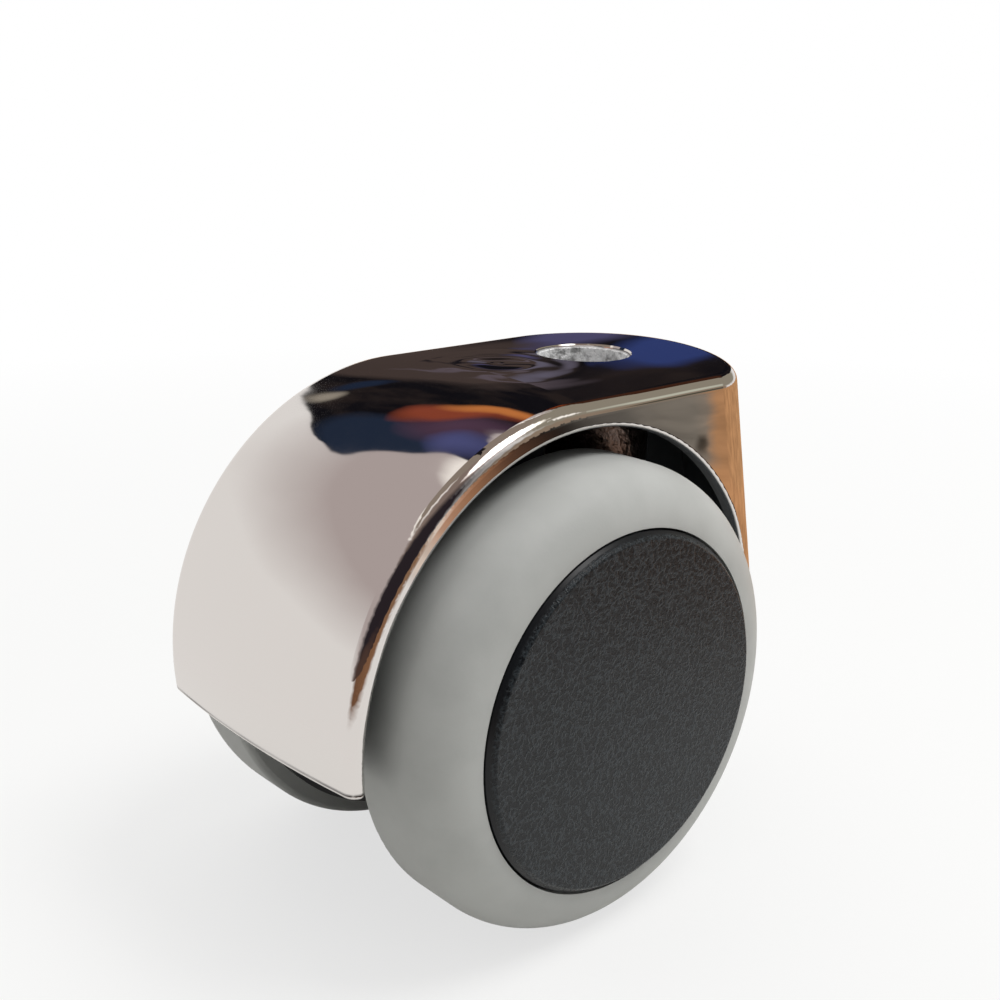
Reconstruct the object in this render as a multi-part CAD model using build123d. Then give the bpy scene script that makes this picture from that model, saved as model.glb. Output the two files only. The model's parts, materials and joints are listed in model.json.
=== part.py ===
# Twin wheel castor: one die-cast hood with a stem socket, a fixed axle and two trailing wheels.
# Origin on the stem axis at the top of the socket's straight wall, +X towards the nose,
# +Y to the left wheel, +Z up. Millimetres and degrees.
from build123d import *
import math
import os

# Castor as a whole
wheel_diameter = 50.0
wheel_trail = 16.2
width_over_wheels = 48.4

# Hood casting, outer form
hood_width = 33.1
hood_over_wheel = 5.0
back_above_axle = 1.5
crown = 0.95
nose_reach = 14.8
nose_depth = 10.4
nose_lean = 11.5
edge_radius = 1.6
skirt_drop = 2.7
rim_tilt = 4.0
arch_gap = 2.9
arch_forward = 0.5
lip_round = 0.5

# Hood casting, walls
hood_wall = 1.5
web_thickness = 4.0
rib_thickness = 1.4
rib_width = 13.0
rib_angles = (105.0, 132.0, 159.0)

# Stem socket
socket_radius = 5.1
socket_depth = 24.0
socket_wall = 2.6
socket_floor = 2.4
mouth_chamfer = 0.5
groove_below_mouth = 17.5
groove_width = 1.6
groove_depth = 0.7
thrust_disc_thickness = 1.2
thrust_disc_clearance = 0.1

# Axle and its stack of washers
axle_radius = 4.0
axle_press = 0.02
axle_boss_wall = 3.2
axle_boss_length = 10.0
axle_tail = 1.2
axle_end_chamfer = 0.5
clip_groove_depth = 0.6
clip_thickness = 0.6
clip_radius = 7.2
clip_prongs = 6
clip_slot = 1.1
clip_seat_clearance = 0.05
washer_thickness = 1.0
washer_radius = 6.6
running_clearance = 0.05
side_play = 0.3

# Wheel core
wheel_side_gap = 0.6
bush_wall = 1.3
hub_wall = 2.0
rim_wall = 2.0
flange_width = 1.6
flange_inset = 2.2
core_web_inset = 4.3
core_web = 2.0
core_ribs = 8
core_rib_thickness = 1.4
core_rib_setback = 1.4
key_width = 3.0
key_depth = 0.8
core_draft = 1.0

# Tread
tread_thickness = 4.4
tread_width = 11.7
tread_shoulder = 5.9
tread_inner_round = 0.8

# Hub cap
cap_rise = 0.8
cap_slope = 0.65
cap_edge_round = 0.3
cap_plate = 2.0
cap_flange = 1.9
cap_inset = 6.0
cap_groove = 0.25
cap_skirt_wall = 0.9
cap_skirt_length = 1.8
cap_fit = 0.1
cap_to_axle = 1.0

# Places that follow from the sizes above
wheel_radius = wheel_diameter / 2
back_radius = wheel_radius + hood_over_wheel
axle_below_top = back_radius + back_above_axle
top_z = mouth_chamfer
axle_x = -wheel_trail
axle_z = top_z - axle_below_top
arc_z = top_z - back_radius
socket_boss_radius = socket_radius + socket_wall
arch_radius = wheel_radius + arch_gap
axle_boss_radius = axle_radius + axle_boss_wall
clear_of_part = 20.0
beyond = 200.0
tolerance = 0.02

# Distances outwards along the axle, from the middle of the castor
boss_end = axle_boss_length / 2
inner_washer_end = boss_end + washer_thickness
hub_start = inner_washer_end + side_play
core_start = socket_boss_radius + wheel_side_gap
cap_face = width_over_wheels / 2
tread_end = cap_face - cap_rise
tread_start = tread_end - tread_width
cap_seat = tread_end - cap_flange
cap_inner_face = cap_face - cap_plate
axle_end = cap_inner_face - cap_to_axle
clip_end = axle_end - axle_tail
clip_start = clip_end - clip_thickness
outer_washer_start = clip_start - clip_seat_clearance - washer_thickness
hub_end = outer_washer_start - side_play
core_web_start = core_start + core_web_inset
core_web_end = core_web_start + core_web

# Radii of the pieces that turn on the axle
bush_inner_radius = axle_radius + running_clearance
bush_outer_radius = bush_inner_radius + bush_wall
hub_radius = bush_outer_radius + hub_wall
rim_radius = wheel_radius - tread_thickness
rim_inner_radius = rim_radius - rim_wall
flange_radius = wheel_radius - flange_inset
cap_radius = wheel_radius - cap_inset
tread_lip_radius = cap_radius + cap_groove
key_start = (tread_start + cap_seat - key_width) / 2
key_end = key_start + key_width


def closed_face(*edges):
    return make_face(Curve() + list(edges))


def turned(*edges):
    # A piece turned about the local X axis from its half-section
    return revolve(closed_face(*edges), Axis.X, 360)


def ring(start, end, inner_radius, outer_radius):
    outline = Polyline(
        (start, inner_radius), (start, outer_radius), (end, outer_radius), (end, inner_radius), close=True
    )
    return turned(outline)


def on_axle(piece, side):
    # Local X points outwards along the axle: side 1 is the left wheel, side -1 the right
    return Location((axle_x, 0, axle_z), (0, 0, 90 * side)) * piece


def hood_section(inset, depth):
    # Crowned across the hood's width, with straight flanks that run past its sides
    flank = hood_width / 2 + edge_radius
    height = back_radius - inset
    drop = crown * (flank / (hood_width / 2)) ** 2
    top = ThreePointArc((-flank, height - drop), (0, height), (flank, height - drop))
    rest = Polyline((flank, height - drop), (flank, -depth), (-flank, -depth), (-flank, height - drop))
    plane = Plane(origin=(axle_x, 0, arc_z), x_dir=(0, 1, 0), z_dir=(1, 0, 0))
    return plane * closed_face(top, rest)


def hood_plan(inset):
    # Parallel sides that close in a half-elliptical nose
    half = hood_width / 2 - inset
    start = nose_reach - nose_depth
    back = axle_x - back_radius - clear_of_part
    nose = EllipticalCenterArc((start, 0), nose_depth - inset, half, start_angle=-90, arc_size=180)
    rest = Polyline((start, half), (back, half), (back, -half), (start, -half))
    return Plane.XY.offset(top_z) * closed_face(nose, rest)


def hood_block(inset, rounding):
    # Barrel back, level top and leaning nose, with every upper edge rounded
    depth = axle_below_top
    back = revolve(hood_section(inset, 0), Axis((axle_x, 0, arc_z), (0, 1, 0)), 360)
    front = extrude(hood_section(inset, depth), amount=nose_reach + wheel_trail + clear_of_part)
    lean = Vector(math.sin(math.radians(nose_lean)), 0, -math.cos(math.radians(nose_lean)))
    prism = extrude(hood_plan(inset), amount=2 * depth, dir=lean)
    prism += extrude(hood_plan(inset), amount=clear_of_part / 2, dir=-lean)
    block = (back + front) & prism
    floor = axle_z - skirt_drop - clear_of_part / 2
    block -= Pos(0, 0, floor - beyond / 2) * Box(beyond, beyond, beyond)
    if rounding > 0:
        # The rounded edges lie high up and well to the side of the middle
        upper = [
            edge
            for edge in block.edges()
            if abs(edge.center().Y) > hood_width / 4 and edge.center().Z > arc_z / 2
        ]
        block = fillet(upper, rounding)
    return block


def rim_plane():
    # The hood's rim rises a little from the back towards the nose
    return Plane(Location((axle_x - back_radius, 0, axle_z - skirt_drop), (0, -rim_tilt, 0)))


def below_rim():
    return rim_plane().location * Pos(0, 0, -beyond / 2) * Box(beyond, beyond, beyond)


def wheel_arches():
    return Pos(arch_forward, 0, 0) * on_axle(ring(-hood_width, hood_width, 0, arch_radius), 1)


def lies_on_rim(edge):
    plane = rim_plane()
    return all(abs(plane.to_local_coords(edge @ part).Z) < tolerance for part in (0, 0.5, 1))


def lies_on_arch(edge):
    middle = Vector(axle_x + arch_forward, 0, axle_z)
    radii = [Vector((edge @ part).X, 0, (edge @ part).Z).sub(middle).length for part in (0, 0.3, 0.7, 1)]
    return all(abs(radius - arch_radius) < tolerance for radius in radii)


def rounded_lips(shell):
    # The rim all round, and the outer edge of each wheel arch
    outside = hood_width / 2 - hood_wall / 2
    lips = [
        edge
        for edge in shell.edges()
        if lies_on_rim(edge) or (abs(edge.center().Y) > outside and lies_on_arch(edge))
    ]
    return fillet(lips, lip_round)


def hood_shell():
    shell = hood_block(0, edge_radius) - hood_block(hood_wall, 0)
    return rounded_lips(shell - below_rim() - wheel_arches())


def web_and_ribs():
    # A web down the middle carries the axle boss, with ribs fanned out to the hood's back
    inside = hood_block(hood_wall / 2, 0) - below_rim()
    web = inside & Box(beyond, web_thickness, beyond)
    rib_start = hub_radius + core_draft + wheel_side_gap
    for angle in rib_angles:
        rib = Pos(rib_start + back_radius / 2, 0, 0) * Box(back_radius, rib_width, rib_thickness)
        web += inside & (Location((axle_x, 0, axle_z), (0, -angle, 0)) * rib)
    return web


def stem_boss():
    height = socket_depth + thrust_disc_thickness + socket_floor
    boss = Pos(0, 0, -height / 2) * Cylinder(socket_boss_radius, height)
    return boss


def socket_cutter():
    # Straight wall, chamfered mouth, and a groove that a stem's grip ring snaps into
    depth = socket_depth + thrust_disc_thickness
    overrun = 2.0
    wide = socket_radius + mouth_chamfer + overrun
    groove_top = -groove_below_mouth
    groove_bottom = groove_top - groove_width
    groove_radius = socket_radius + groove_depth
    outline = Polyline(
        (0, -depth),
        (socket_radius, -depth),
        (socket_radius, groove_bottom),
        (groove_radius, groove_bottom),
        (groove_radius, groove_top),
        (socket_radius, groove_top),
        (socket_radius, 0),
        (wide, mouth_chamfer + overrun),
        (0, mouth_chamfer + overrun),
        close=True,
    )
    return revolve(Plane.XZ * closed_face(outline), Axis.Z, 360)


def housing():
    axle_boss = on_axle(ring(-boss_end, boss_end, 0, axle_boss_radius), 1)
    axle_hole = on_axle(ring(-boss_end - 1, boss_end + 1, 0, axle_radius + axle_press), 1)
    casting = hood_shell() + web_and_ribs() + stem_boss() + axle_boss
    return casting - axle_hole - socket_cutter()


def stem_thrust_disc():
    middle = -socket_depth - thrust_disc_thickness / 2
    return Pos(0, 0, middle) * Cylinder(socket_radius - thrust_disc_clearance, thrust_disc_thickness)


def axle():
    groove = axle_radius - clip_groove_depth
    tip = axle_radius - axle_end_chamfer
    outline = Polyline(
        (0, 0),
        (0, axle_radius),
        (clip_start - clip_seat_clearance, axle_radius),
        (clip_start - clip_seat_clearance, groove),
        (clip_end + clip_seat_clearance, groove),
        (clip_end + clip_seat_clearance, axle_radius),
        (axle_end - axle_end_chamfer, axle_radius),
        (axle_end, tip),
        (axle_end, 0),
        close=True,
    )
    half = turned(outline)
    return on_axle(half, 1) + on_axle(half, -1)


def retaining_clip():
    # A push-on clip whose slots leave prongs that grip the axle's groove
    inner = axle_radius - clip_groove_depth + clip_seat_clearance
    clip = ring(clip_start, clip_end, inner, clip_radius)
    reach = (inner + clip_radius) / 2
    for number in range(clip_prongs):
        slot = Pos((clip_start + clip_end) / 2, 0, reach / 2) * Box(2 * clip_thickness, clip_slot, reach)
        clip -= Rot(360 / clip_prongs * number, 0, 0) * slot
    return clip


def axle_washer(start):
    return ring(start, start + washer_thickness, bush_inner_radius, washer_radius)


def bush():
    return ring(hub_start, hub_end, bush_inner_radius, bush_outer_radius)


def wheel_core():
    # Hub, web and rim in one moulding, with a flange behind the tread and a key groove under it
    hub_foot = hub_radius + core_draft
    rim_foot = rim_inner_radius - core_draft / 2
    outline = Polyline(
        (hub_start, bush_outer_radius),
        (hub_start, hub_radius),
        (core_web_start, hub_foot),
        (core_web_start, rim_foot),
        (core_start, rim_inner_radius),
        (core_start, rim_radius),
        (tread_start - flange_width, rim_radius),
        (tread_start - flange_width, flange_radius),
        (tread_start, flange_radius),
        (tread_start, rim_radius),
        (key_start, rim_radius),
        (key_start, rim_radius - key_depth),
        (key_end, rim_radius - key_depth),
        (key_end, rim_radius),
        (cap_seat, rim_radius),
        (cap_seat, rim_inner_radius),
        (core_web_end, rim_foot),
        (core_web_end, hub_foot),
        (hub_end, hub_radius),
        (hub_end, bush_outer_radius),
        close=True,
    )
    core = turned(outline)
    rib_start = core_start + core_rib_setback
    rib_end = hub_end - core_rib_setback
    inner = (hub_radius + bush_outer_radius) / 2
    outer = rim_radius - rim_wall / 2
    length = outer - inner
    for number in range(core_ribs):
        rib = Pos((rib_start + rib_end) / 2, 0, inner + length / 2)
        rib *= Box(rib_end - rib_start, core_rib_thickness, length)
        core += Rot(360 / core_ribs * number, 0, 0) * rib
    return core


def tread():
    # A level band with a full round shoulder that runs in to the cap
    shoulder_start = tread_end - tread_shoulder
    shoulder = EllipticalCenterArc(
        (shoulder_start, tread_lip_radius), tread_shoulder, wheel_radius - tread_lip_radius, arc_size=90
    )
    inner_round = CenterArc(
        (tread_start + tread_inner_round, wheel_radius - tread_inner_round), tread_inner_round, 90, 90
    )
    band = Line((shoulder_start, wheel_radius), (tread_start + tread_inner_round, wheel_radius))
    rest = Polyline(
        (tread_start, wheel_radius - tread_inner_round),
        (tread_start, rim_radius),
        (key_start, rim_radius),
        (key_start, rim_radius - key_depth),
        (key_end, rim_radius - key_depth),
        (key_end, rim_radius),
        (cap_seat, rim_radius),
        (cap_seat, tread_lip_radius),
        (tread_end, tread_lip_radius),
    )
    return turned(shoulder, band, inner_round, rest)


def hub_cap():
    # A flat raised face inside a sloping shoulder, with a skirt that plugs into the rim
    face_radius = cap_radius - cap_slope
    skirt_outer = rim_inner_radius - core_draft / 2 - cap_fit
    skirt_inner = skirt_outer - cap_skirt_wall
    outline = Polyline(
        (cap_face, 0),
        (cap_face, face_radius),
        (tread_end, cap_radius),
        (cap_seat, cap_radius),
        (cap_seat, skirt_outer),
        (cap_seat - cap_skirt_length, skirt_outer),
        (cap_seat - cap_skirt_length, skirt_inner),
        (cap_inner_face, skirt_inner),
        (cap_inner_face, 0),
        close=True,
    )
    cap = turned(outline)
    face_edges = [
        edge
        for edge in cap.edges().filter_by(GeomType.CIRCLE)
        if abs(edge.radius - face_radius) < 0.01 and abs(edge.center().X - cap_face) < 0.01
    ]
    return fillet(face_edges, cap_edge_round)


def all_nodes():
    nodes = {
        "hood_casting": housing(),
        "stem_thrust_disc": stem_thrust_disc(),
        "axle": axle(),
    }
    for side, name in ((1, "left"), (-1, "right")):
        nodes[name + "_inner_washer"] = on_axle(axle_washer(boss_end), side)
        nodes[name + "_outer_washer"] = on_axle(axle_washer(outer_washer_start), side)
        nodes[name + "_retaining_clip"] = on_axle(retaining_clip(), side)
        nodes[name + "_wheel_bush"] = on_axle(bush(), side)
        nodes[name + "_wheel_core"] = on_axle(wheel_core(), side)
        nodes[name + "_tread"] = on_axle(tread(), side)
        nodes[name + "_hub_cap"] = on_axle(hub_cap(), side)
    return nodes


os.makedirs("parts", exist_ok=True)
for node_name, solid in all_nodes().items():
    export_step(solid, "parts/" + node_name + ".step")
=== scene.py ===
import json
import math
import bpy
from mathutils import Matrix, Vector


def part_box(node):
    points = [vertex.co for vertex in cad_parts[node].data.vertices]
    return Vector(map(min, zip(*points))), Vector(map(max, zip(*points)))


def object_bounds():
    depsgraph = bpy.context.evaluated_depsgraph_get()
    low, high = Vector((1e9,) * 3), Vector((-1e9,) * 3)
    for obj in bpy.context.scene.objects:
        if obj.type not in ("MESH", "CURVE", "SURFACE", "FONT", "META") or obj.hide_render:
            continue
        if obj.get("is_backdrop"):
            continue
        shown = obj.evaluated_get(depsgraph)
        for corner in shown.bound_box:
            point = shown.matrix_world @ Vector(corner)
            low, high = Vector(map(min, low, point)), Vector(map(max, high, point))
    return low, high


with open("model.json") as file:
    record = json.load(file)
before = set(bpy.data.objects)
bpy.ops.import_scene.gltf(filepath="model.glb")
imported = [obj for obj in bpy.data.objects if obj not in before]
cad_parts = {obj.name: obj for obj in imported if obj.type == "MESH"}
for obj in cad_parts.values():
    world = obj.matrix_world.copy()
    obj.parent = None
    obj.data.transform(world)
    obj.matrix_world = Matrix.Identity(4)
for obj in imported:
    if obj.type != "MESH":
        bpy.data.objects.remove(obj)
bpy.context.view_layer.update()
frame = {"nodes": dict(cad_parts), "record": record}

print("frame loaded:", len(frame["nodes"]), "nodes")

mm = 0.001
noiseMiddle = 0.5
halfTurn = 180.0

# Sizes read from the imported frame. All sizes and places below are in millimetres, and angles in degrees.
# A noise is given by its scale, which is 1 over the size of its blotches, its detail and its roughness
hoodLow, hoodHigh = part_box("hood_casting")
treadLow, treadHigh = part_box("right_tread")
axleX = (treadLow.x + treadHigh.x) / 2 / mm
axleZ = (treadLow.z + treadHigh.z) / 2 / mm
topZ = hoodHigh.z / mm
hoodBack = hoodLow.x / mm
hoodHalf = hoodHigh.y / mm
capFace = -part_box("right_hub_cap")[0].y / mm


def hexToLinear(code):
    # sRGB hex to the linear colour that the shader sockets take
    parts = [int(code[i:i + 2], 16) / 255 for i in (1, 3, 5)]
    linear = [c / 12.92 if c <= 0.04045 else ((c + 0.055) / 1.055) ** 2.4 for c in parts]
    return (*linear, 1.0)


def addNode(tree, kind, settings=None, *inputs):
    # One node with its settings and links. The settings name its properties and inputs, or are just its
    # operation; the inputs after them fill its sockets in order. A node or one of its outputs is linked,
    # a hex colour is turned to linear, and any other value is set
    node = tree.nodes.new("ShaderNode" + kind)
    if isinstance(settings, str):
        settings = {"operation": settings}
    given = []
    for name, value in (settings or {}).items():
        if name in node.inputs:
            given.append((node.inputs[name], value))
        else:
            setattr(node, name, value)
    given += zip([socket for socket in node.inputs if socket.enabled], inputs)
    for socket, value in given:
        if isinstance(value, bpy.types.Node):
            value = next(output for output in value.outputs if output.enabled)
        if isinstance(value, bpy.types.NodeSocket):
            tree.links.new(value, socket)
        else:
            socket.default_value = hexToLinear(value) if isinstance(value, str) else value
    return node


def newMaterial(name):
    material = bpy.data.materials.new(name)
    material.use_nodes = True
    material.node_tree.nodes.clear()
    return material, material.node_tree


def objectMillimetres(tree):
    # Object coordinates scaled so that one unit is a millimetre
    coordinates = addNode(tree, "TexCoord")
    return addNode(tree, "VectorMath", "SCALE", coordinates.outputs["Object"], 1 / mm)


chrome = {
    "colour": "#E6E3E0",
    "roughness": 0.03,
    "smear": (1 / 9.0, 3.0, 0.55),
    "smearRange": (0.45, 0.8, 0.0, 0.05),  # from noise to added roughness
    "waves": (1 / 14.0, 1.0, 0.4),
    "waveDepth": 0.10,

    # The hood's skin, as the casting has it
    "barrelCentre": -29.5,
    "barrelRadius": 30.0,
    "crown": 0.95,
    "noseStart": 4.4,
    "noseDepth": 10.4,
    "noseLean": 11.5,

    # Inside the hood the plate is thin. Each edge below is the short stretch over which a finish changes
    "insideColour": "#484B4E",
    "insideRoughness": 0.5,
    "insideDielectric": 0.4,
    "wallEdge": (0.75, 1.05),
    "archAhead": 0.5,
    "archEdge": (28.15, 28.0),
    "bossEdge": (7.9, 8.1),
    "bossColour": "#8A7F7A",
    "bossRoughness": 0.25,
    "bossGrain": 0.5,

    # Raw metal in the socket: blotchy grey, with white blotches painted in as glints
    "boreEdge": (5.55, 5.35),
    "boreTopEdge": (0.3, 0.05),
    "boreTonesAndGlints": ("#9A9A9A", "#FFFFFF"),
    "boreRange": (0.36, 0.56),
    "boreRoughness": 0.3,
    "boreDielectric": 0.8,
    "castGrain": (1 / 1.3, 3.0, 0.6),
    "castGrainDepth": 0.5,

    # The sink mark on the top behind the socket, with ripples round it
    "dimple": (-12.3, 1.1, 0.0),
    "dimpleRadius": 4.6,
    "dimpleDepth": 0.25,
    "rippleLength": 5.2,
    "rippleReach": (11.0, 3.0),
    "rippleDepth": 0.045,
    "rippleBend": (1 / 6.0, 1.0, 0.5),
    "rippleBendBy": 4.0,

    # The bead along the lower rim, with a fine crease over it, darkened there by painted shade that a
    # noise breaks up in places
    "rimDrop": 2.7,
    "rimTilt": 4.0,
    "beadHeight": 0.55,
    "beadDepth": 0.1,
    "creaseEdge": (0.22, 0.0),
    "creaseSkin": (0.5, 0.2),
    "creaseShadeColour": "#4E4A49",
    "creaseShadeBreakup": (1 / 8.0, 2.0, 0.5),
    "creaseShadeBreakupRange": (0.35, 0.6, 0.35, 1.0),  # from noise to how strong the painted shade in the crease is
}


def depthUnderSkin(tree, x, y, z):
    # How far a point lies inside the hood's outer skin: the least of its depths under the crowned
    # barrel, under the side wall and under the round nose, which leans
    side = addNode(tree, "Math", "DIVIDE", addNode(tree, "Math", "ABSOLUTE", y), hoodHalf)
    sideSquare = addNode(tree, "Math", "MULTIPLY", side, side)
    drop = addNode(tree, "Math", "MULTIPLY", sideSquare, chrome["crown"])
    skin = addNode(tree, "Math", "SUBTRACT", chrome["barrelRadius"], drop)
    back = addNode(tree, "Math", "MINIMUM", addNode(tree, "Math", "SUBTRACT", x, axleX), 0.0)
    up = addNode(tree, "Math", "SUBTRACT", z, chrome["barrelCentre"])
    reach = addNode(tree, "VectorMath", "LENGTH", addNode(tree, "CombineXYZ", {}, back, up))
    underBarrel = addNode(tree, "Math", "SUBTRACT", skin, reach)

    inwards = addNode(tree, "Math", "SUBTRACT", 1.0, side)
    underWall = addNode(tree, "Math", "MULTIPLY", inwards, hoodHalf)

    fallen = addNode(tree, "Math", "SUBTRACT", topZ, z)
    leant = addNode(tree, "Math", "MULTIPLY", fallen, math.tan(math.radians(chrome["noseLean"])))
    start = addNode(tree, "Math", "ADD", leant, chrome["noseStart"])
    ahead = addNode(tree, "Math", "MAXIMUM", addNode(tree, "Math", "SUBTRACT", x, start), 0.0)
    ahead = addNode(tree, "Math", "DIVIDE", ahead, chrome["noseDepth"])
    fromNose = addNode(tree, "VectorMath", "LENGTH", addNode(tree, "CombineXYZ", {}, ahead, side))
    inwards = addNode(tree, "Math", "SUBTRACT", 1.0, fromNose)
    underNose = addNode(tree, "Math", "MULTIPLY", inwards, chrome["noseDepth"])

    least = addNode(tree, "Math", "MINIMUM", underBarrel, underWall)
    return addNode(tree, "Math", "MINIMUM", least, underNose)


def chromePlating():
    # Chrome plate over a polished zinc die casting: a mirror with faint waves outside, thin and dull
    # inside the hood, and bright raw metal in the socket, whose white blotches are painted glints. A fine
    # line of painted shade runs along the crease over the rim's bead
    material, tree = newMaterial("chromePlatedZinc")
    place = objectMillimetres(tree)
    x, y, z = addNode(tree, "SeparateXYZ", {}, place).outputs
    flat = addNode(tree, "CombineXYZ", {}, x, y)
    depth = depthUnderSkin(tree, x, y, z)

    # Shares of the socket, of the stem boss and of the hood's inside
    fromStem = addNode(tree, "VectorMath", "LENGTH", flat)
    inSocket = addNode(tree, "MapRange", {}, fromStem, *chrome["boreEdge"])
    belowTop = addNode(tree, "MapRange", {}, z, *chrome["boreTopEdge"])
    bore = addNode(tree, "Math", "MULTIPLY", inSocket, belowTop)
    hidden = addNode(tree, "MapRange", {}, depth, *chrome["wallEdge"])
    offBoss = addNode(tree, "MapRange", {}, fromStem, *chrome["bossEdge"])
    onBoss = addNode(tree, "Math", "SUBTRACT", 1.0, offBoss)
    boss = addNode(tree, "Math", "MULTIPLY", hidden, onBoss)
    archX = addNode(tree, "Math", "SUBTRACT", x, axleX + chrome["archAhead"])
    archZ = addNode(tree, "Math", "SUBTRACT", z, axleZ)
    archReach = addNode(tree, "VectorMath", "LENGTH", addNode(tree, "CombineXYZ", {}, archX, archZ))
    inArch = addNode(tree, "MapRange", {}, archReach, *chrome["archEdge"])
    inside = addNode(tree, "Math", "MAXIMUM", hidden, inArch)
    inside = addNode(tree, "Math", "MULTIPLY", inside, offBoss)

    # The crease over the rim's bead, with painted shade along it, made faint in places by a noise
    rise = addNode(tree, "Math", "SUBTRACT", x, hoodBack)
    rise = addNode(tree, "Math", "MULTIPLY", rise, math.tan(math.radians(chrome["rimTilt"])))
    overRim = addNode(tree, "Math", "SUBTRACT", z, axleZ - chrome["rimDrop"])
    overRim = addNode(tree, "Math", "SUBTRACT", overRim, rise)
    overBead = addNode(tree, "Math", "SUBTRACT", overRim, chrome["beadHeight"])
    fromCrease = addNode(tree, "Math", "ABSOLUTE", overBead)
    crease = addNode(tree, "Math", "MULTIPLY",
                     addNode(tree, "MapRange", {}, fromCrease, *chrome["creaseEdge"]),
                     addNode(tree, "MapRange", {}, depth, *chrome["creaseSkin"]))
    creaseShadeBreakup = addNode(tree, "TexNoise", {}, place, *chrome["creaseShadeBreakup"])
    creaseShadeStrength = addNode(tree, "MapRange", {}, creaseShadeBreakup, *chrome["creaseShadeBreakupRange"])
    paintedCreaseShade = addNode(tree, "Math", "MULTIPLY", crease, creaseShadeStrength)

    # Colour and shine, area by area: painted shade in the rim's crease, and painted glints among the
    # socket's blotches
    castGrain = addNode(tree, "TexNoise", {}, place, *chrome["castGrain"])
    bright = addNode(tree, "MapRange", {}, castGrain, *chrome["boreRange"])
    boreToneAndGlint = addNode(tree, "Mix", {"data_type": "RGBA"}, bright, *chrome["boreTonesAndGlints"])
    colour = chrome["colour"]
    for share, over in ((inside, chrome["insideColour"]), (boss, chrome["bossColour"]),
                        (paintedCreaseShade, chrome["creaseShadeColour"]), (bore, boreToneAndGlint)):
        colour = addNode(tree, "Mix", {"data_type": "RGBA"}, share, colour, over)

    smear = addNode(tree, "TexNoise", {}, place, *chrome["smear"])
    rough = addNode(tree, "MapRange", {}, smear, *chrome["smearRange"])
    rough = addNode(tree, "Math", "ADD", rough, chrome["roughness"])
    for share, added in ((inside, chrome["insideRoughness"]), (boss, chrome["bossRoughness"]),
                         (bore, chrome["boreRoughness"])):
        rough = addNode(tree, "Math", "MULTIPLY_ADD", share, added, rough)
    boreDull = addNode(tree, "Math", "MULTIPLY", bore, chrome["boreDielectric"])
    insideDull = addNode(tree, "Math", "MULTIPLY", inside, chrome["insideDielectric"])
    dull = addNode(tree, "Math", "MAXIMUM", boreDull, insideDull)

    # Heights of the waves, the sink mark, its ripples, the crease and the cast grain
    waves = addNode(tree, "TexNoise", {}, place, *chrome["waves"])
    fromDimple = addNode(tree, "VectorMath", "SUBTRACT", flat, chrome["dimple"])
    away = addNode(tree, "VectorMath", "LENGTH", fromDimple)
    dimple = addNode(tree, "MapRange", {"interpolation_type": "SMOOTHSTEP"},
                     away, 0.0, chrome["dimpleRadius"])
    bend = addNode(tree, "TexNoise", {}, place, *chrome["rippleBend"])
    bent = addNode(tree, "Math", "MULTIPLY_ADD", bend, chrome["rippleBendBy"], away)
    turns = addNode(tree, "Math", "MULTIPLY", bent, 2 * math.pi / chrome["rippleLength"])
    ripple = addNode(tree, "Math", "MULTIPLY", addNode(tree, "Math", "SINE", turns),
                     addNode(tree, "MapRange", {}, away, *chrome["rippleReach"]))
    uncreased = addNode(tree, "Math", "SUBTRACT", 1.0, crease)
    bossCast = addNode(tree, "Math", "MULTIPLY", boss, chrome["bossGrain"])
    cast = addNode(tree, "Math", "MAXIMUM", bore, bossCast)
    cast = addNode(tree, "Math", "MULTIPLY", cast, castGrain)
    surface = addNode(tree, "Bump", {"Height": waves, "Distance": chrome["waveDepth"] * mm})
    for height, deep in ((dimple, "dimpleDepth"), (ripple, "rippleDepth"), (uncreased, "beadDepth"),
                         (cast, "castGrainDepth")):
        surface = addNode(tree, "Bump", {"Height": height, "Distance": chrome[deep] * mm,
                                         "Normal": surface})

    plate = addNode(tree, "BsdfPrincipled", {
        "Base Color": colour,
        "Roughness": rough,
        "Metallic": addNode(tree, "Math", "SUBTRACT", 1.0, dull),
        "Normal": surface,
    })
    addNode(tree, "OutputMaterial", {"Surface": plate})
    return material


# Bright mild steel, turned or stamped: a soft grey shine with fine marks, drawn coarser than real ones
steel = {
    "name": "turnedSteel",
    "colours": ("#8F9092", "#B9BABB"),
    "colourRange": (0.0, 1.0),
    "cloud": (1 / 0.4, 2.0, 0.6),
    "grain": (1 / 0.4, 2.0, 0.6),
    "grainDepth": 0.01,
    "roughness": (0.3, 0.7, 0.24, 0.42),  # from noise to roughness
    "metallic": 1.0,
    "specular": 0.5,
}

# Natural acetal, turned or moulded: milky white and slightly waxy
acetal = {
    "name": "naturalAcetal",
    "colours": ("#DEDBD2", "#ECEAE3"),
    "colourRange": (0.0, 1.0),
    "cloud": (1 / 2.0, 3.0, 0.5),
    "grain": (1 / 0.3, 2.0, 0.5),
    "grainDepth": 0.004,
    "roughness": (0.3, 0.7, 0.32, 0.42),
    "metallic": 0.0,
    "specular": 0.5,
}

# Black nylon moulding: low sheen with a fine spark-eroded grain, drawn coarser than the real one
nylon = {
    "name": "blackNylonMoulding",
    "colours": ("#101113", "#1C1D1F"),
    "colourRange": (0.0, 1.0),
    "cloud": (1 / 0.3, 3.0, 0.6),
    "grain": (1 / 0.3, 3.0, 0.6),
    "grainDepth": 0.012,
    "roughness": (0.3, 0.7, 0.42, 0.56),
    "metallic": 0.0,
    "specular": 0.5,
}

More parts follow.
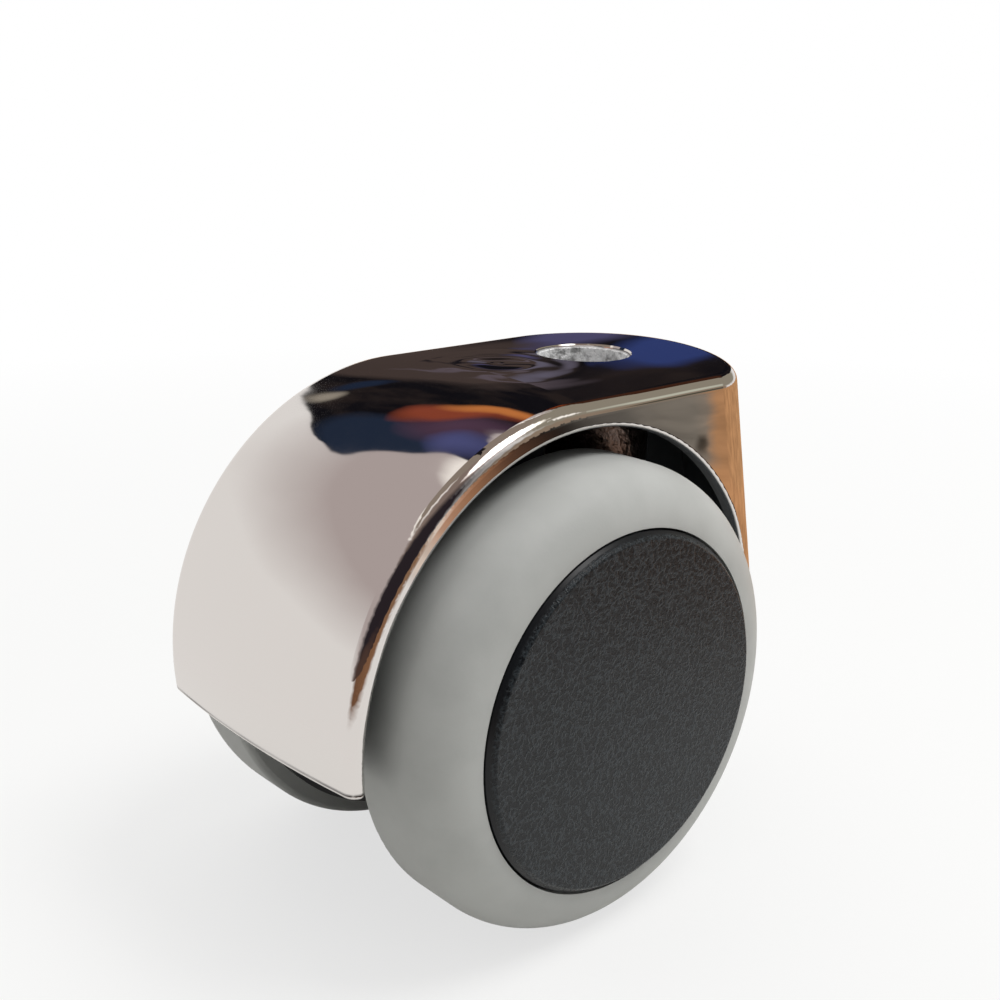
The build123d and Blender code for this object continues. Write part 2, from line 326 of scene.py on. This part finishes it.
# Thermoplastic rubber moulded on the rim: satin grey with a dull bloom, which lowers its shine. Its
# grain is drawn coarser than the real one
rubber = {
    "name": "greyThermoplasticRubber",
    "colours": ("#ADAEAB", "#B5B6B3"),
    "colourRange": (0.35, 0.65),
    "cloud": (1 / 7.0, 4.0, 0.55),
    "grain": (1 / 0.35, 2.0, 0.6),
    "grainDepth": 0.006,
    "roughness": (0.3, 0.7, 0.46, 0.56),
    "metallic": 0.0,
    "specular": 0.4,
}


def plainFinish(look):
    # A surface in two close tones, with a shine that changes along with them, under a fine grain
    material, tree = newMaterial(look["name"])
    place = objectMillimetres(tree)
    cloud = addNode(tree, "TexNoise", {}, place, *look["cloud"])
    grain = addNode(tree, "TexNoise", {}, place, *look["grain"])
    share = addNode(tree, "MapRange", {}, cloud, *look["colourRange"])
    surface = addNode(tree, "BsdfPrincipled", {
        "Base Color": addNode(tree, "Mix", {"data_type": "RGBA"}, share, *look["colours"]),
        "Roughness": addNode(tree, "MapRange", {}, cloud, *look["roughness"]),
        "Metallic": look["metallic"],
        "Specular IOR Level": look["specular"],
        "Normal": addNode(tree, "Bump", {"Height": grain, "Distance": look["grainDepth"] * mm}),
    })
    addNode(tree, "OutputMaterial", {"Surface": surface})
    return material


cap = {
    "faceColours": ("#121518", "#31373B"),
    "colourRange": (0.25, 0.65),
    "shoulderColour": "#17191C",
    "faceEdge": (0.5, 0.3),  # depths under the face between which the grain sets in
    "grain": (1 / 0.3, 4.0, 0.7),
    "grainShare": 0.6,
    "curls": (1 / 0.75, 2.0, 0.5),  # a curl lies where this noise is in its middle
    "curlEdge": (0.07, 0.0),
    "curlShare": 0.3,
    "grainDepth": 0.08,
    "faceRoughness": (0.35, 0.65, 0.2, 0.36),  # from noise to roughness
    "shoulderRoughness": 0.3,
    "specular": 0.28,
}


def sparkTexturedCap():
    # Charcoal ABS cap: a coarse spark-eroded face, of grains and short curls, inside a smooth moulded
    # shoulder
    material, tree = newMaterial("charcoalSparkTexturedABS")
    place = objectMillimetres(tree)
    across = addNode(tree, "SeparateXYZ", {}, place).outputs["Y"]
    outwards = addNode(tree, "Math", "ABSOLUTE", across)
    face = addNode(tree, "MapRange", {}, outwards, *[capFace - under for under in cap["faceEdge"]])
    grain = addNode(tree, "TexNoise", {}, place, *cap["grain"])
    bend = addNode(tree, "TexNoise", {}, place, *cap["curls"])
    fromCurl = addNode(tree, "Math", "ABSOLUTE", addNode(tree, "Math", "SUBTRACT", bend, noiseMiddle))
    curls = addNode(tree, "MapRange", {}, fromCurl, *cap["curlEdge"])
    height = addNode(tree, "Math", "MULTIPLY", curls, cap["curlShare"])
    height = addNode(tree, "Math", "MULTIPLY_ADD", grain, cap["grainShare"], height)
    light = addNode(tree, "MapRange", {}, height, *cap["colourRange"])
    faceColour = addNode(tree, "Mix", {"data_type": "RGBA"}, light, *cap["faceColours"])
    faceRough = addNode(tree, "MapRange", {}, grain, *cap["faceRoughness"])
    faceHeight = addNode(tree, "Math", "MULTIPLY", height, face)
    surface = addNode(tree, "BsdfPrincipled", {
        "Base Color": addNode(tree, "Mix", {"data_type": "RGBA"}, face, cap["shoulderColour"], faceColour),
        "Roughness": addNode(tree, "Mix", {}, face, cap["shoulderRoughness"], faceRough),
        "Specular IOR Level": cap["specular"],
        "Normal": addNode(tree, "Bump", {"Height": faceHeight, "Distance": cap["grainDepth"] * mm}),
    })
    addNode(tree, "OutputMaterial", {"Surface": surface})
    return material


materials = {
    "chrome_plating": chromePlating(),
    "bare_steel": plainFinish(steel),
    "acetal": plainFinish(acetal),
    "black_nylon": plainFinish(nylon),
    "grey_tread": plainFinish(rubber),
    "charcoal_cap": sparkTexturedCap(),
}
for part in frame["record"]["subparts"]:
    mesh = frame["nodes"][part["node"]].data
    mesh.materials.clear()
    mesh.materials.append(materials[part["material_slot"]])
print("materials:", len(materials))


floor = {
    "colour": "#DCDCD9",
    "size": 6000.0,
    "whiteRange": (90.0, 320.0, 0.7, 1.0),  # from the distance to the share of plain white
    "mirroredRange": (30.0, 100.0, 0.4, 1.0),  # the same in the plating, darker under the hood
    "mirroredColour": "#D6D3D1",
}

# The brightness of all that the plating mirrors, over 1 because the plate itself is darker than white
mirroredLevel = 1.26


def addFloor():
    # Pale studio floor under the wheels: it keeps the soft shadow and runs out to plain white
    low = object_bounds()[0].z
    bpy.ops.mesh.primitive_plane_add(size=floor["size"] * mm, location=(0, 0, low))
    plane = bpy.context.object
    plane.name = "studio_floor"
    material, tree = newMaterial("paleStudioFloor")
    away = addNode(tree, "VectorMath", "LENGTH", objectMillimetres(tree))
    path = addNode(tree, "LightPath").outputs
    glossy = path["Is Glossy Ray"]
    seen = addNode(tree, "Math", "MAXIMUM", path["Is Camera Ray"], glossy)
    seen = addNode(tree, "Math", "MAXIMUM", seen, path["Is Transmission Ray"])
    white = addNode(tree, "MapRange", {}, away, *floor["whiteRange"])
    mirroredWhite = addNode(tree, "MapRange", {}, away, *floor["mirroredRange"])
    share = addNode(tree, "Mix", {}, glossy, white, mirroredWhite)
    share = addNode(tree, "Math", "MULTIPLY", seen, share)
    tone = addNode(tree, "Mix", {"data_type": "RGBA"}, glossy, "#FFFFFF", floor["mirroredColour"])
    level = addNode(tree, "MapRange", {}, glossy, 0.0, 1.0, 1.0, mirroredLevel)
    matte = addNode(tree, "BsdfDiffuse", {"Color": floor["colour"]})
    glow = addNode(tree, "Emission", {}, tone, level)
    addNode(tree, "OutputMaterial", {"Surface": addNode(tree, "MixShader", {}, share, matte, glow)})
    plane.data.materials.append(material)
    plane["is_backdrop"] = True


# The table top beyond the pale sheet that the castor stands on. Only reflections show it
table = {
    # Colours round it as the plate shows them, by their azimuth from +X towards +Y
    "bands": [
        (-180.0, "#7A5842"), (-166.0, "#6A4A36"), (-110.0, "#7E5A42"), (-76.0, "#84664F"),
        (-70.0, "#DCCCBF"), (-66.0, "#B88F76"), (-61.0, "#956B50"), (-56.0, "#4A3428"),
        (-52.0, "#211C1A"), (-48.0, "#56524D"), (-41.6, "#7A736A"), (-41.0, "#A77C58"),
        (-30.0, "#B5875F"), (75.0, "#B08660"),
    ],
    "firstFade": (2.0, 20.0),  # it fades in after its first azimuth, and out before its last
    "lastFade": 12.0,
    "grain": (1 / 26.0, 4.0, 0.65),
    "grainBend": 2.0,
    "grainRange": (0.35, 0.65, 0.72, 1.12),  # from noise to brightness
    "lift": 0.5,  # over the floor
    "outer": 4300.0,
    "steps": 90,
    "sheetEdge": (90.0, 102.0),  # distances between which it sets in
    "leftSheetEdge": (150.0, 235.0),  # the same left of the azimuths in leftFrom
    "leftFrom": (-71.0, -74.0),

    # Near the sheet the copper colour comes forward over the grey
    "copper": "#B7875F",
    "copperEdge": (195.0, 189.0),
    "copperFrom": (-47.0, -44.0),

    # A dark smear, which the side of the nose shows, and how far it reaches from its middle each way
    "smearRadius": 212.0,
    "smearAlong": (12.0, 4.0),
    "smearAzimuth": -42.0,
    "smearAcross": (0.8, 0.8 / 3),
    "smearColour": "#2A231D",
    "smearShare": 0.85,
}


def boardMesh(first, last):
    # A flat ring round the sheet between two azimuths
    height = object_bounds()[0].z + table["lift"] * mm
    steps = table["steps"]
    points = []
    for i in range(steps + 1):
        turn = math.radians(first + (last - first) * i / steps)
        for radius in (table["sheetEdge"][0] * mm, table["outer"] * mm):
            points.append((radius * math.cos(turn), radius * math.sin(turn), height))
    faces = [(2 * i, 2 * i + 1, 2 * i + 3, 2 * i + 2) for i in range(steps)]
    mesh = bpy.data.meshes.new("reflected_table")
    mesh.from_pydata(points, [], faces)
    return mesh


def addTable():
    # The table as a low glowing board: dark and brown at the left, and copper at the nose
    first, last = table["bands"][0][0], table["bands"][-1][0]
    mesh = boardMesh(first, last)
    board = bpy.data.objects.new("reflected_table", mesh)
    bpy.context.scene.collection.objects.link(board)
    material, tree = newMaterial("brownTableTop")
    place = objectMillimetres(tree)
    split = addNode(tree, "SeparateXYZ", {}, place).outputs
    away = addNode(tree, "VectorMath", "LENGTH", place)
    turned = addNode(tree, "Math", "ARCTAN2", split["Y"], split["X"])
    turned = addNode(tree, "Math", "DEGREES", turned)
    grain = addNode(tree, "TexNoise", {}, place, *table["grain"])
    bend = addNode(tree, "Math", "SUBTRACT", grain, noiseMiddle)
    turned = addNode(tree, "Math", "MULTIPLY_ADD", bend, table["grainBend"], turned)

    colour = addNode(tree, "ValToRGB", {}, addNode(tree, "MapRange", {}, turned, first, last))
    stops = colour.color_ramp.elements
    while len(stops) < len(table["bands"]):
        stops.new(0.5)
    for stop, (turn, tone) in zip(stops, table["bands"]):
        stop.position = (turn - first) / (last - first)
        stop.color = hexToLinear(tone)
    near = addNode(tree, "Math", "MULTIPLY",
                   addNode(tree, "MapRange", {}, away, *table["copperEdge"]),
                   addNode(tree, "MapRange", {}, turned, *table["copperFrom"]))
    colour = addNode(tree, "Mix", {"data_type": "RGBA"}, near, colour, table["copper"])
    along = addNode(tree, "Math", "SUBTRACT", away, table["smearRadius"])
    along = addNode(tree, "Math", "ABSOLUTE", along)
    across = addNode(tree, "Math", "SUBTRACT", turned, table["smearAzimuth"])
    across = addNode(tree, "Math", "ABSOLUTE", across)
    smear = addNode(tree, "Math", "MULTIPLY",
                    addNode(tree, "MapRange", {}, along, *table["smearAlong"]),
                    addNode(tree, "MapRange", {}, across, *table["smearAcross"]))
    smear = addNode(tree, "Math", "MULTIPLY", smear, table["smearShare"])
    colour = addNode(tree, "Mix", {"data_type": "RGBA"}, smear, colour, table["smearColour"])
    shade = addNode(tree, "MapRange", {}, grain, *table["grainRange"])
    shade = addNode(tree, "Math", "MULTIPLY", shade, mirroredLevel)

    onLeft = addNode(tree, "MapRange", {}, turned, *table["leftFrom"])
    covers = addNode(tree, "Mix", {}, onLeft,
                     addNode(tree, "MapRange", {}, away, *table["sheetEdge"]),
                     addNode(tree, "MapRange", {}, away, *table["leftSheetEdge"]))
    firstFade = [first + angle for angle in table["firstFade"]]
    ends = addNode(tree, "Math", "MULTIPLY",
                   addNode(tree, "MapRange", {}, turned, *firstFade),
                   addNode(tree, "MapRange", {}, turned, last, last - table["lastFade"]))
    covers = addNode(tree, "Math", "MULTIPLY", covers, ends)
    clear = addNode(tree, "BsdfTransparent")
    glow = addNode(tree, "Emission", {}, colour, shade)
    addNode(tree, "OutputMaterial", {"Surface": addNode(tree, "MixShader", {}, covers, clear, glow)})
    mesh.materials.append(material)
    board.visible_camera = False
    board.visible_diffuse = False
    board.visible_shadow = False
    board.visible_transmission = False
    board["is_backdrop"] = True


# What the chrome mirrors over the floor, by azimuth from +X towards +Y and elevation. A patch is a soft
# ellipse: its middle, its half width and half height, its colour as the plate shows it, and how far out
# it is fully coloured, as a share of its squared radius
mirrored = {
    "wallLow": "#D6D3D1",
    "wallHigh": "#A59A98",
    "wallFade": (21.0, 40.0),
    "wallLean": 0.4,  # how far the fade sinks for each degree past leanFrom, up to half of leanSpan
    "leanFrom": 100.0,
    "leanSpan": 160.0,
    "wallRise": 10.0,  # the most that it rises before leanFrom
    "overWall": [(51.5, "#E6E0DA"), (54.5, "#82766C")],  # elevations of the cornice and the ceiling
    "overWallSoft": 0.6,
    "warp": (6.0, 3.0, 0.55),
    "warpBy": (4.0, 2.0),
    "roomPatches": [
        ((-165.0, 66.0), (30.0, 13.0), "#DED7D2", 0.3),
        ((-48.0, 2.0), (22.0, 26.0), "#857566", 0.5),
        ((-10.0, 36.0), (54.0, 32.0), "#857E71", 0.7),
        ((-120.0, 56.0), (60.0, 30.0), "#7A6B64", 0.4),
        ((-122.0, 12.0), (66.0, 44.0), "#262024", 0.45),
        ((-150.0, 0.0), (44.0, 12.0), "#47352F", 0.2),
        ((-37.0, 20.0), (5.0, 8.0), "#B2B2A4", 0.2),
        ((-40.5, 4.5), (4.5, 4.5), "#4A483E", 0.2),
        ((-43.0, 34.0), (4.5, 10.0), "#F4F0EA", 0.2),
    ],

    # The dark corner lies between two edges, each a list of elevations with their azimuths
    "leftEdge": [
        (0, 54), (5, 57), (10, 62), (17, 66), (21, 69.5), (24, 73), (27, 78), (29, 81), (31.5, 87.5),
        (33.5, 93), (36, 97), (38, 98), (41, 95.5), (44, 93), (48, 90), (51, 85),
    ],
    "rightEdge": [(0, 30), (33, 10), (36, 2), (43, 4), (44.5, 57), (47, 66), (52, 76)],
    "edgeTop": 60.0,
    "edgeSpan": 100.0,
    "edgeSoft": 0.45,
    "dark": ("#0F0E12", "#231D1C"),
    "darkSpots": (9.0, 3.0, 0.6),
    "darkRange": (0.45, 0.68),
    "cornerPatches": [
        ((22.0, 40.0), (24.0, 7.0), "#3A2116", 0.6),
        ((55.0, 13.0), (11.0, 15.0), "#3E3431", 0.6),
        ((50.0, 17.5), (8.0, 1.2), "#544B52", 0.1),
        ((49.0, 9.5), (4.0, 1.4), "#141217", 0.2),
        ((46.0, 13.0), (1.8, 3.2), "#565260", 0.1),
        ((73.5, 27.0), (4.0, 1.8), "#8A8277", 0.1),
        ((66.0, 25.5), (6.0, 1.8), "#1B2436", 0.2),
        ((39.5, 12.0), (4.5, 5.0), "#2B3766", 0.4),
        ((44.0, 4.0), (4.0, 5.0), "#454260", 0.3),
        ((88.0, 41.0), (14.0, 10.0), "#1E2738", 0.5),
        ((70.0, 44.5), (15.0, 5.0), "#4A3546", 0.0),
        ((78.0, 49.0), (12.0, 4.0), "#474A74", 0.0),
        ((60.0, 50.0), (10.0, 5.0), "#94898D", 0.0),
        ((65.0, 39.6), (14.0, 3.2), "#7E3C2A", 0.2),
        ((56.0, 38.2), (10.0, 2.4), "#B26C3A", 0.1),
        ((42.0, 38.5), (9.0, 4.0), "#703419", 0.3),
    ],
    "lamp": ((-66.0, 61.0), (36.0, 19.0), 0.0),  # its middle and half size, and fully bright only there
    "lampColour": "#FFFFFF",
    "lampStrength": 6.0,
}


def edgeCurve(tree, elevation, points):
    # Azimuth of an edge of the dark corner, as a curve over the elevation
    top, span = mirrored["edgeTop"], mirrored["edgeSpan"]
    share = addNode(tree, "Math", "DIVIDE", elevation, top)
    node = addNode(tree, "FloatCurve", {"Value": share})
    curve = node.mapping.curves[0]
    while len(curve.points) < len(points) + 1:
        curve.points.new(0.5, 0.5)
    for point, (high, turn) in zip(curve.points, points + [(top, points[-1][1])]):
        point.location = (high / top, turn / span)
        point.handle_type = "VECTOR"
    node.mapping.update()
    return addNode(tree, "Math", "MULTIPLY", node, span)


def turnFrom(tree, azimuth, start):
    # Angle from start to azimuth, between -180 and 180, so that nothing jumps behind the hood
    turn = addNode(tree, "Math", "SUBTRACT", azimuth, start)
    return addNode(tree, "Math", "WRAP", turn, halfTurn, -halfTurn)


def patchMask(tree, azimuth, elevation, middle, halfSize, full):
    # A soft-edged ellipse in the mirrored room: 1 inside it, 0 outside
    across = turnFrom(tree, azimuth, middle[0])
    across = addNode(tree, "Math", "DIVIDE", across, halfSize[0])
    up = addNode(tree, "Math", "SUBTRACT", elevation, middle[1])
    up = addNode(tree, "Math", "DIVIDE", up, halfSize[1])
    offset = addNode(tree, "CombineXYZ", {}, across, up)
    squared = addNode(tree, "VectorMath", "DOT_PRODUCT", offset, offset)
    return addNode(tree, "MapRange", {}, squared, 1.0, full)


def paintPatches(tree, azimuth, elevation, colour, patches):
    # The patches laid over a colour, one over the other
    for middle, halfSize, tone, full in patches:
        mask = patchMask(tree, azimuth, elevation, middle, halfSize, full)
        colour = addNode(tree, "Mix", {"data_type": "RGBA"}, mask, colour, tone)
    return colour


def mirroredRoom(tree):
    # The room that the plating mirrors: a pale wall, and a dark corner with warm and blue things in it
    towards = addNode(tree, "TexCoord").outputs["Generated"]
    split = addNode(tree, "SeparateXYZ", {}, towards).outputs
    azimuth = addNode(tree, "Math", "DEGREES", addNode(tree, "Math", "ARCTAN2", split["Y"], split["X"]))
    elevation = addNode(tree, "Math", "DEGREES", addNode(tree, "Math", "ARCSINE", split["Z"]))
    warp = addNode(tree, "TexNoise", {}, towards, *mirrored["warp"])
    swings = addNode(tree, "SeparateColor", {}, warp.outputs["Color"]).outputs
    shifted = []
    for angle, swing, most in zip((azimuth, elevation), swings, mirrored["warpBy"]):
        swing = addNode(tree, "Math", "SUBTRACT", swing, noiseMiddle)
        shifted.append(addNode(tree, "Math", "MULTIPLY_ADD", swing, most, angle))
    azimuth, elevation = shifted

    # The wall darkens upwards, and the line where it does leans, the same way on both sides
    turned = turnFrom(tree, azimuth, mirrored["leanFrom"])
    otherWay = addNode(tree, "Math", "SUBTRACT", mirrored["leanSpan"], turned)
    turned = addNode(tree, "Math", "MINIMUM", turned, otherWay)
    leant = addNode(tree, "Math", "MULTIPLY", turned, mirrored["wallLean"])
    leant = addNode(tree, "Math", "MAXIMUM", leant, -mirrored["wallRise"])
    high = addNode(tree, "Math", "ADD", elevation, leant)
    high = addNode(tree, "MapRange", {}, high, *mirrored["wallFade"])
    room = addNode(tree, "Mix", {"data_type": "RGBA"}, high, mirrored["wallLow"], mirrored["wallHigh"])
    soft = mirrored["overWallSoft"]
    for start, colour in mirrored["overWall"]:
        over = addNode(tree, "MapRange", {}, elevation, start - soft, start + soft)
        room = addNode(tree, "Mix", {"data_type": "RGBA"}, over, room, colour)
    room = paintPatches(tree, azimuth, elevation, room, mirrored["roomPatches"])

    soft = mirrored["edgeSoft"]
    leftEdge = edgeCurve(tree, elevation, mirrored["leftEdge"])
    rightEdge = edgeCurve(tree, elevation, mirrored["rightEdge"])
    fromLeft = addNode(tree, "Math", "SUBTRACT", leftEdge, azimuth)
    fromRight = addNode(tree, "Math", "SUBTRACT", azimuth, rightEdge)
    inside = addNode(tree, "Math", "MULTIPLY",
                     addNode(tree, "MapRange", {}, fromLeft, -soft, soft),
                     addNode(tree, "MapRange", {}, fromRight, -soft, soft))
    spots = addNode(tree, "TexNoise", {}, towards, *mirrored["darkSpots"])
    spots = addNode(tree, "MapRange", {}, spots, *mirrored["darkRange"])
    corner = addNode(tree, "Mix", {"data_type": "RGBA"}, spots, *mirrored["dark"])
    corner = paintPatches(tree, azimuth, elevation, corner, mirrored["cornerPatches"])
    room = addNode(tree, "Mix", {"data_type": "RGBA"}, inside, room, corner)

    # The lamp's soft image, brighter than white
    shine = patchMask(tree, azimuth, elevation, *mirrored["lamp"])
    room = addNode(tree, "Mix", {"data_type": "RGBA"}, shine, room, mirrored["lampColour"])
    level = addNode(tree, "Math", "MULTIPLY_ADD", shine, mirrored["lampStrength"], mirroredLevel)
    return addNode(tree, "VectorMath", "SCALE", room, level)


softLight = {
    "side": (0.2, 0.3, 0.93),
    "range": (0.1, 0.85, 0.03, 1.1),  # from how far a direction is on that side to its brightness
}


def setWorld():
    # White studio: plain white to the camera, a soft light from above on the object, and the mirrored
    # room in the plating
    world = bpy.data.worlds.new("whiteStudio")
    bpy.context.scene.world = world
    world.use_nodes = True
    tree = world.node_tree
    tree.nodes.clear()
    path = addNode(tree, "LightPath").outputs
    colour = addNode(tree, "Mix", {"data_type": "RGBA"}, path["Is Glossy Ray"], "#FFFFFF",
                     mirroredRoom(tree))
    towards = addNode(tree, "TexCoord").outputs["Generated"]
    above = addNode(tree, "VectorMath", "DOT_PRODUCT", towards, softLight["side"])
    soft = addNode(tree, "MapRange", {}, above, *softLight["range"])
    plain = addNode(tree, "Math", "MAXIMUM", path["Is Camera Ray"], path["Is Transmission Ray"])
    plain = addNode(tree, "Math", "MAXIMUM", plain, path["Is Glossy Ray"])
    strength = addNode(tree, "Mix", {}, plain, soft, 1.0)
    light = addNode(tree, "Background", {}, colour, strength)
    addNode(tree, "OutputWorld", {"Surface": light})


softboxes = {
    "keySoftbox": {"place": (200.0, -240.0, 620.0), "size": 300.0, "power": 3.0},
    "lowSoftbox": {"place": (120.0, -320.0, -15.0), "size": 120.0, "power": 0.14},
}


def addSoftbox(name, place, size, power):
    # A square light aimed at the wheels, which the plating doesn't mirror
    data = bpy.data.lights.new(name, "AREA")
    data.shape = "SQUARE"
    data.size = size * mm
    data.energy = power
    lamp = bpy.data.objects.new(name, data)
    lamp.location = Vector(place) * mm
    aim = Vector((axleX, 0, axleZ)) - Vector(place)
    lamp.rotation_euler = aim.to_track_quat("-Z", "Y").to_euler()
    lamp.visible_glossy = False
    bpy.context.scene.collection.objects.link(lamp)


# Where the photo was taken from
cameraView = {
    "place": (-108.3, -104.8, 28.3),
    "yaw": 42.43,
    "pitch": 16.87,
    "roll": 0.86,
    "lens": 47.96,
    "sensor": 36.0,
    "nearest": 10.0,
}


def addCamera():
    data = bpy.data.cameras.new("photoCamera")
    data.sensor_width = cameraView["sensor"]
    data.lens = cameraView["lens"]
    data.clip_start = cameraView["nearest"] * mm
    camera = bpy.data.objects.new("photoCamera", data)
    turn = Matrix.Rotation(math.radians(-cameraView["yaw"]), 4, "Z")
    turn @= Matrix.Rotation(math.radians(90 - cameraView["pitch"]), 4, "X")
    turn @= Matrix.Rotation(math.radians(cameraView["roll"]), 4, "Z")
    place = Vector(cameraView["place"]) * mm
    camera.matrix_world = Matrix.Translation(place) @ turn
    bpy.context.scene.collection.objects.link(camera)
    bpy.context.scene.camera = camera


addFloor()
addTable()
print("floor and mirrored table set")
setWorld()
for name, softbox in softboxes.items():
    addSoftbox(name, **softbox)
addCamera()
bpy.context.scene.view_settings.view_transform = "Standard"
print("studio and camera set")
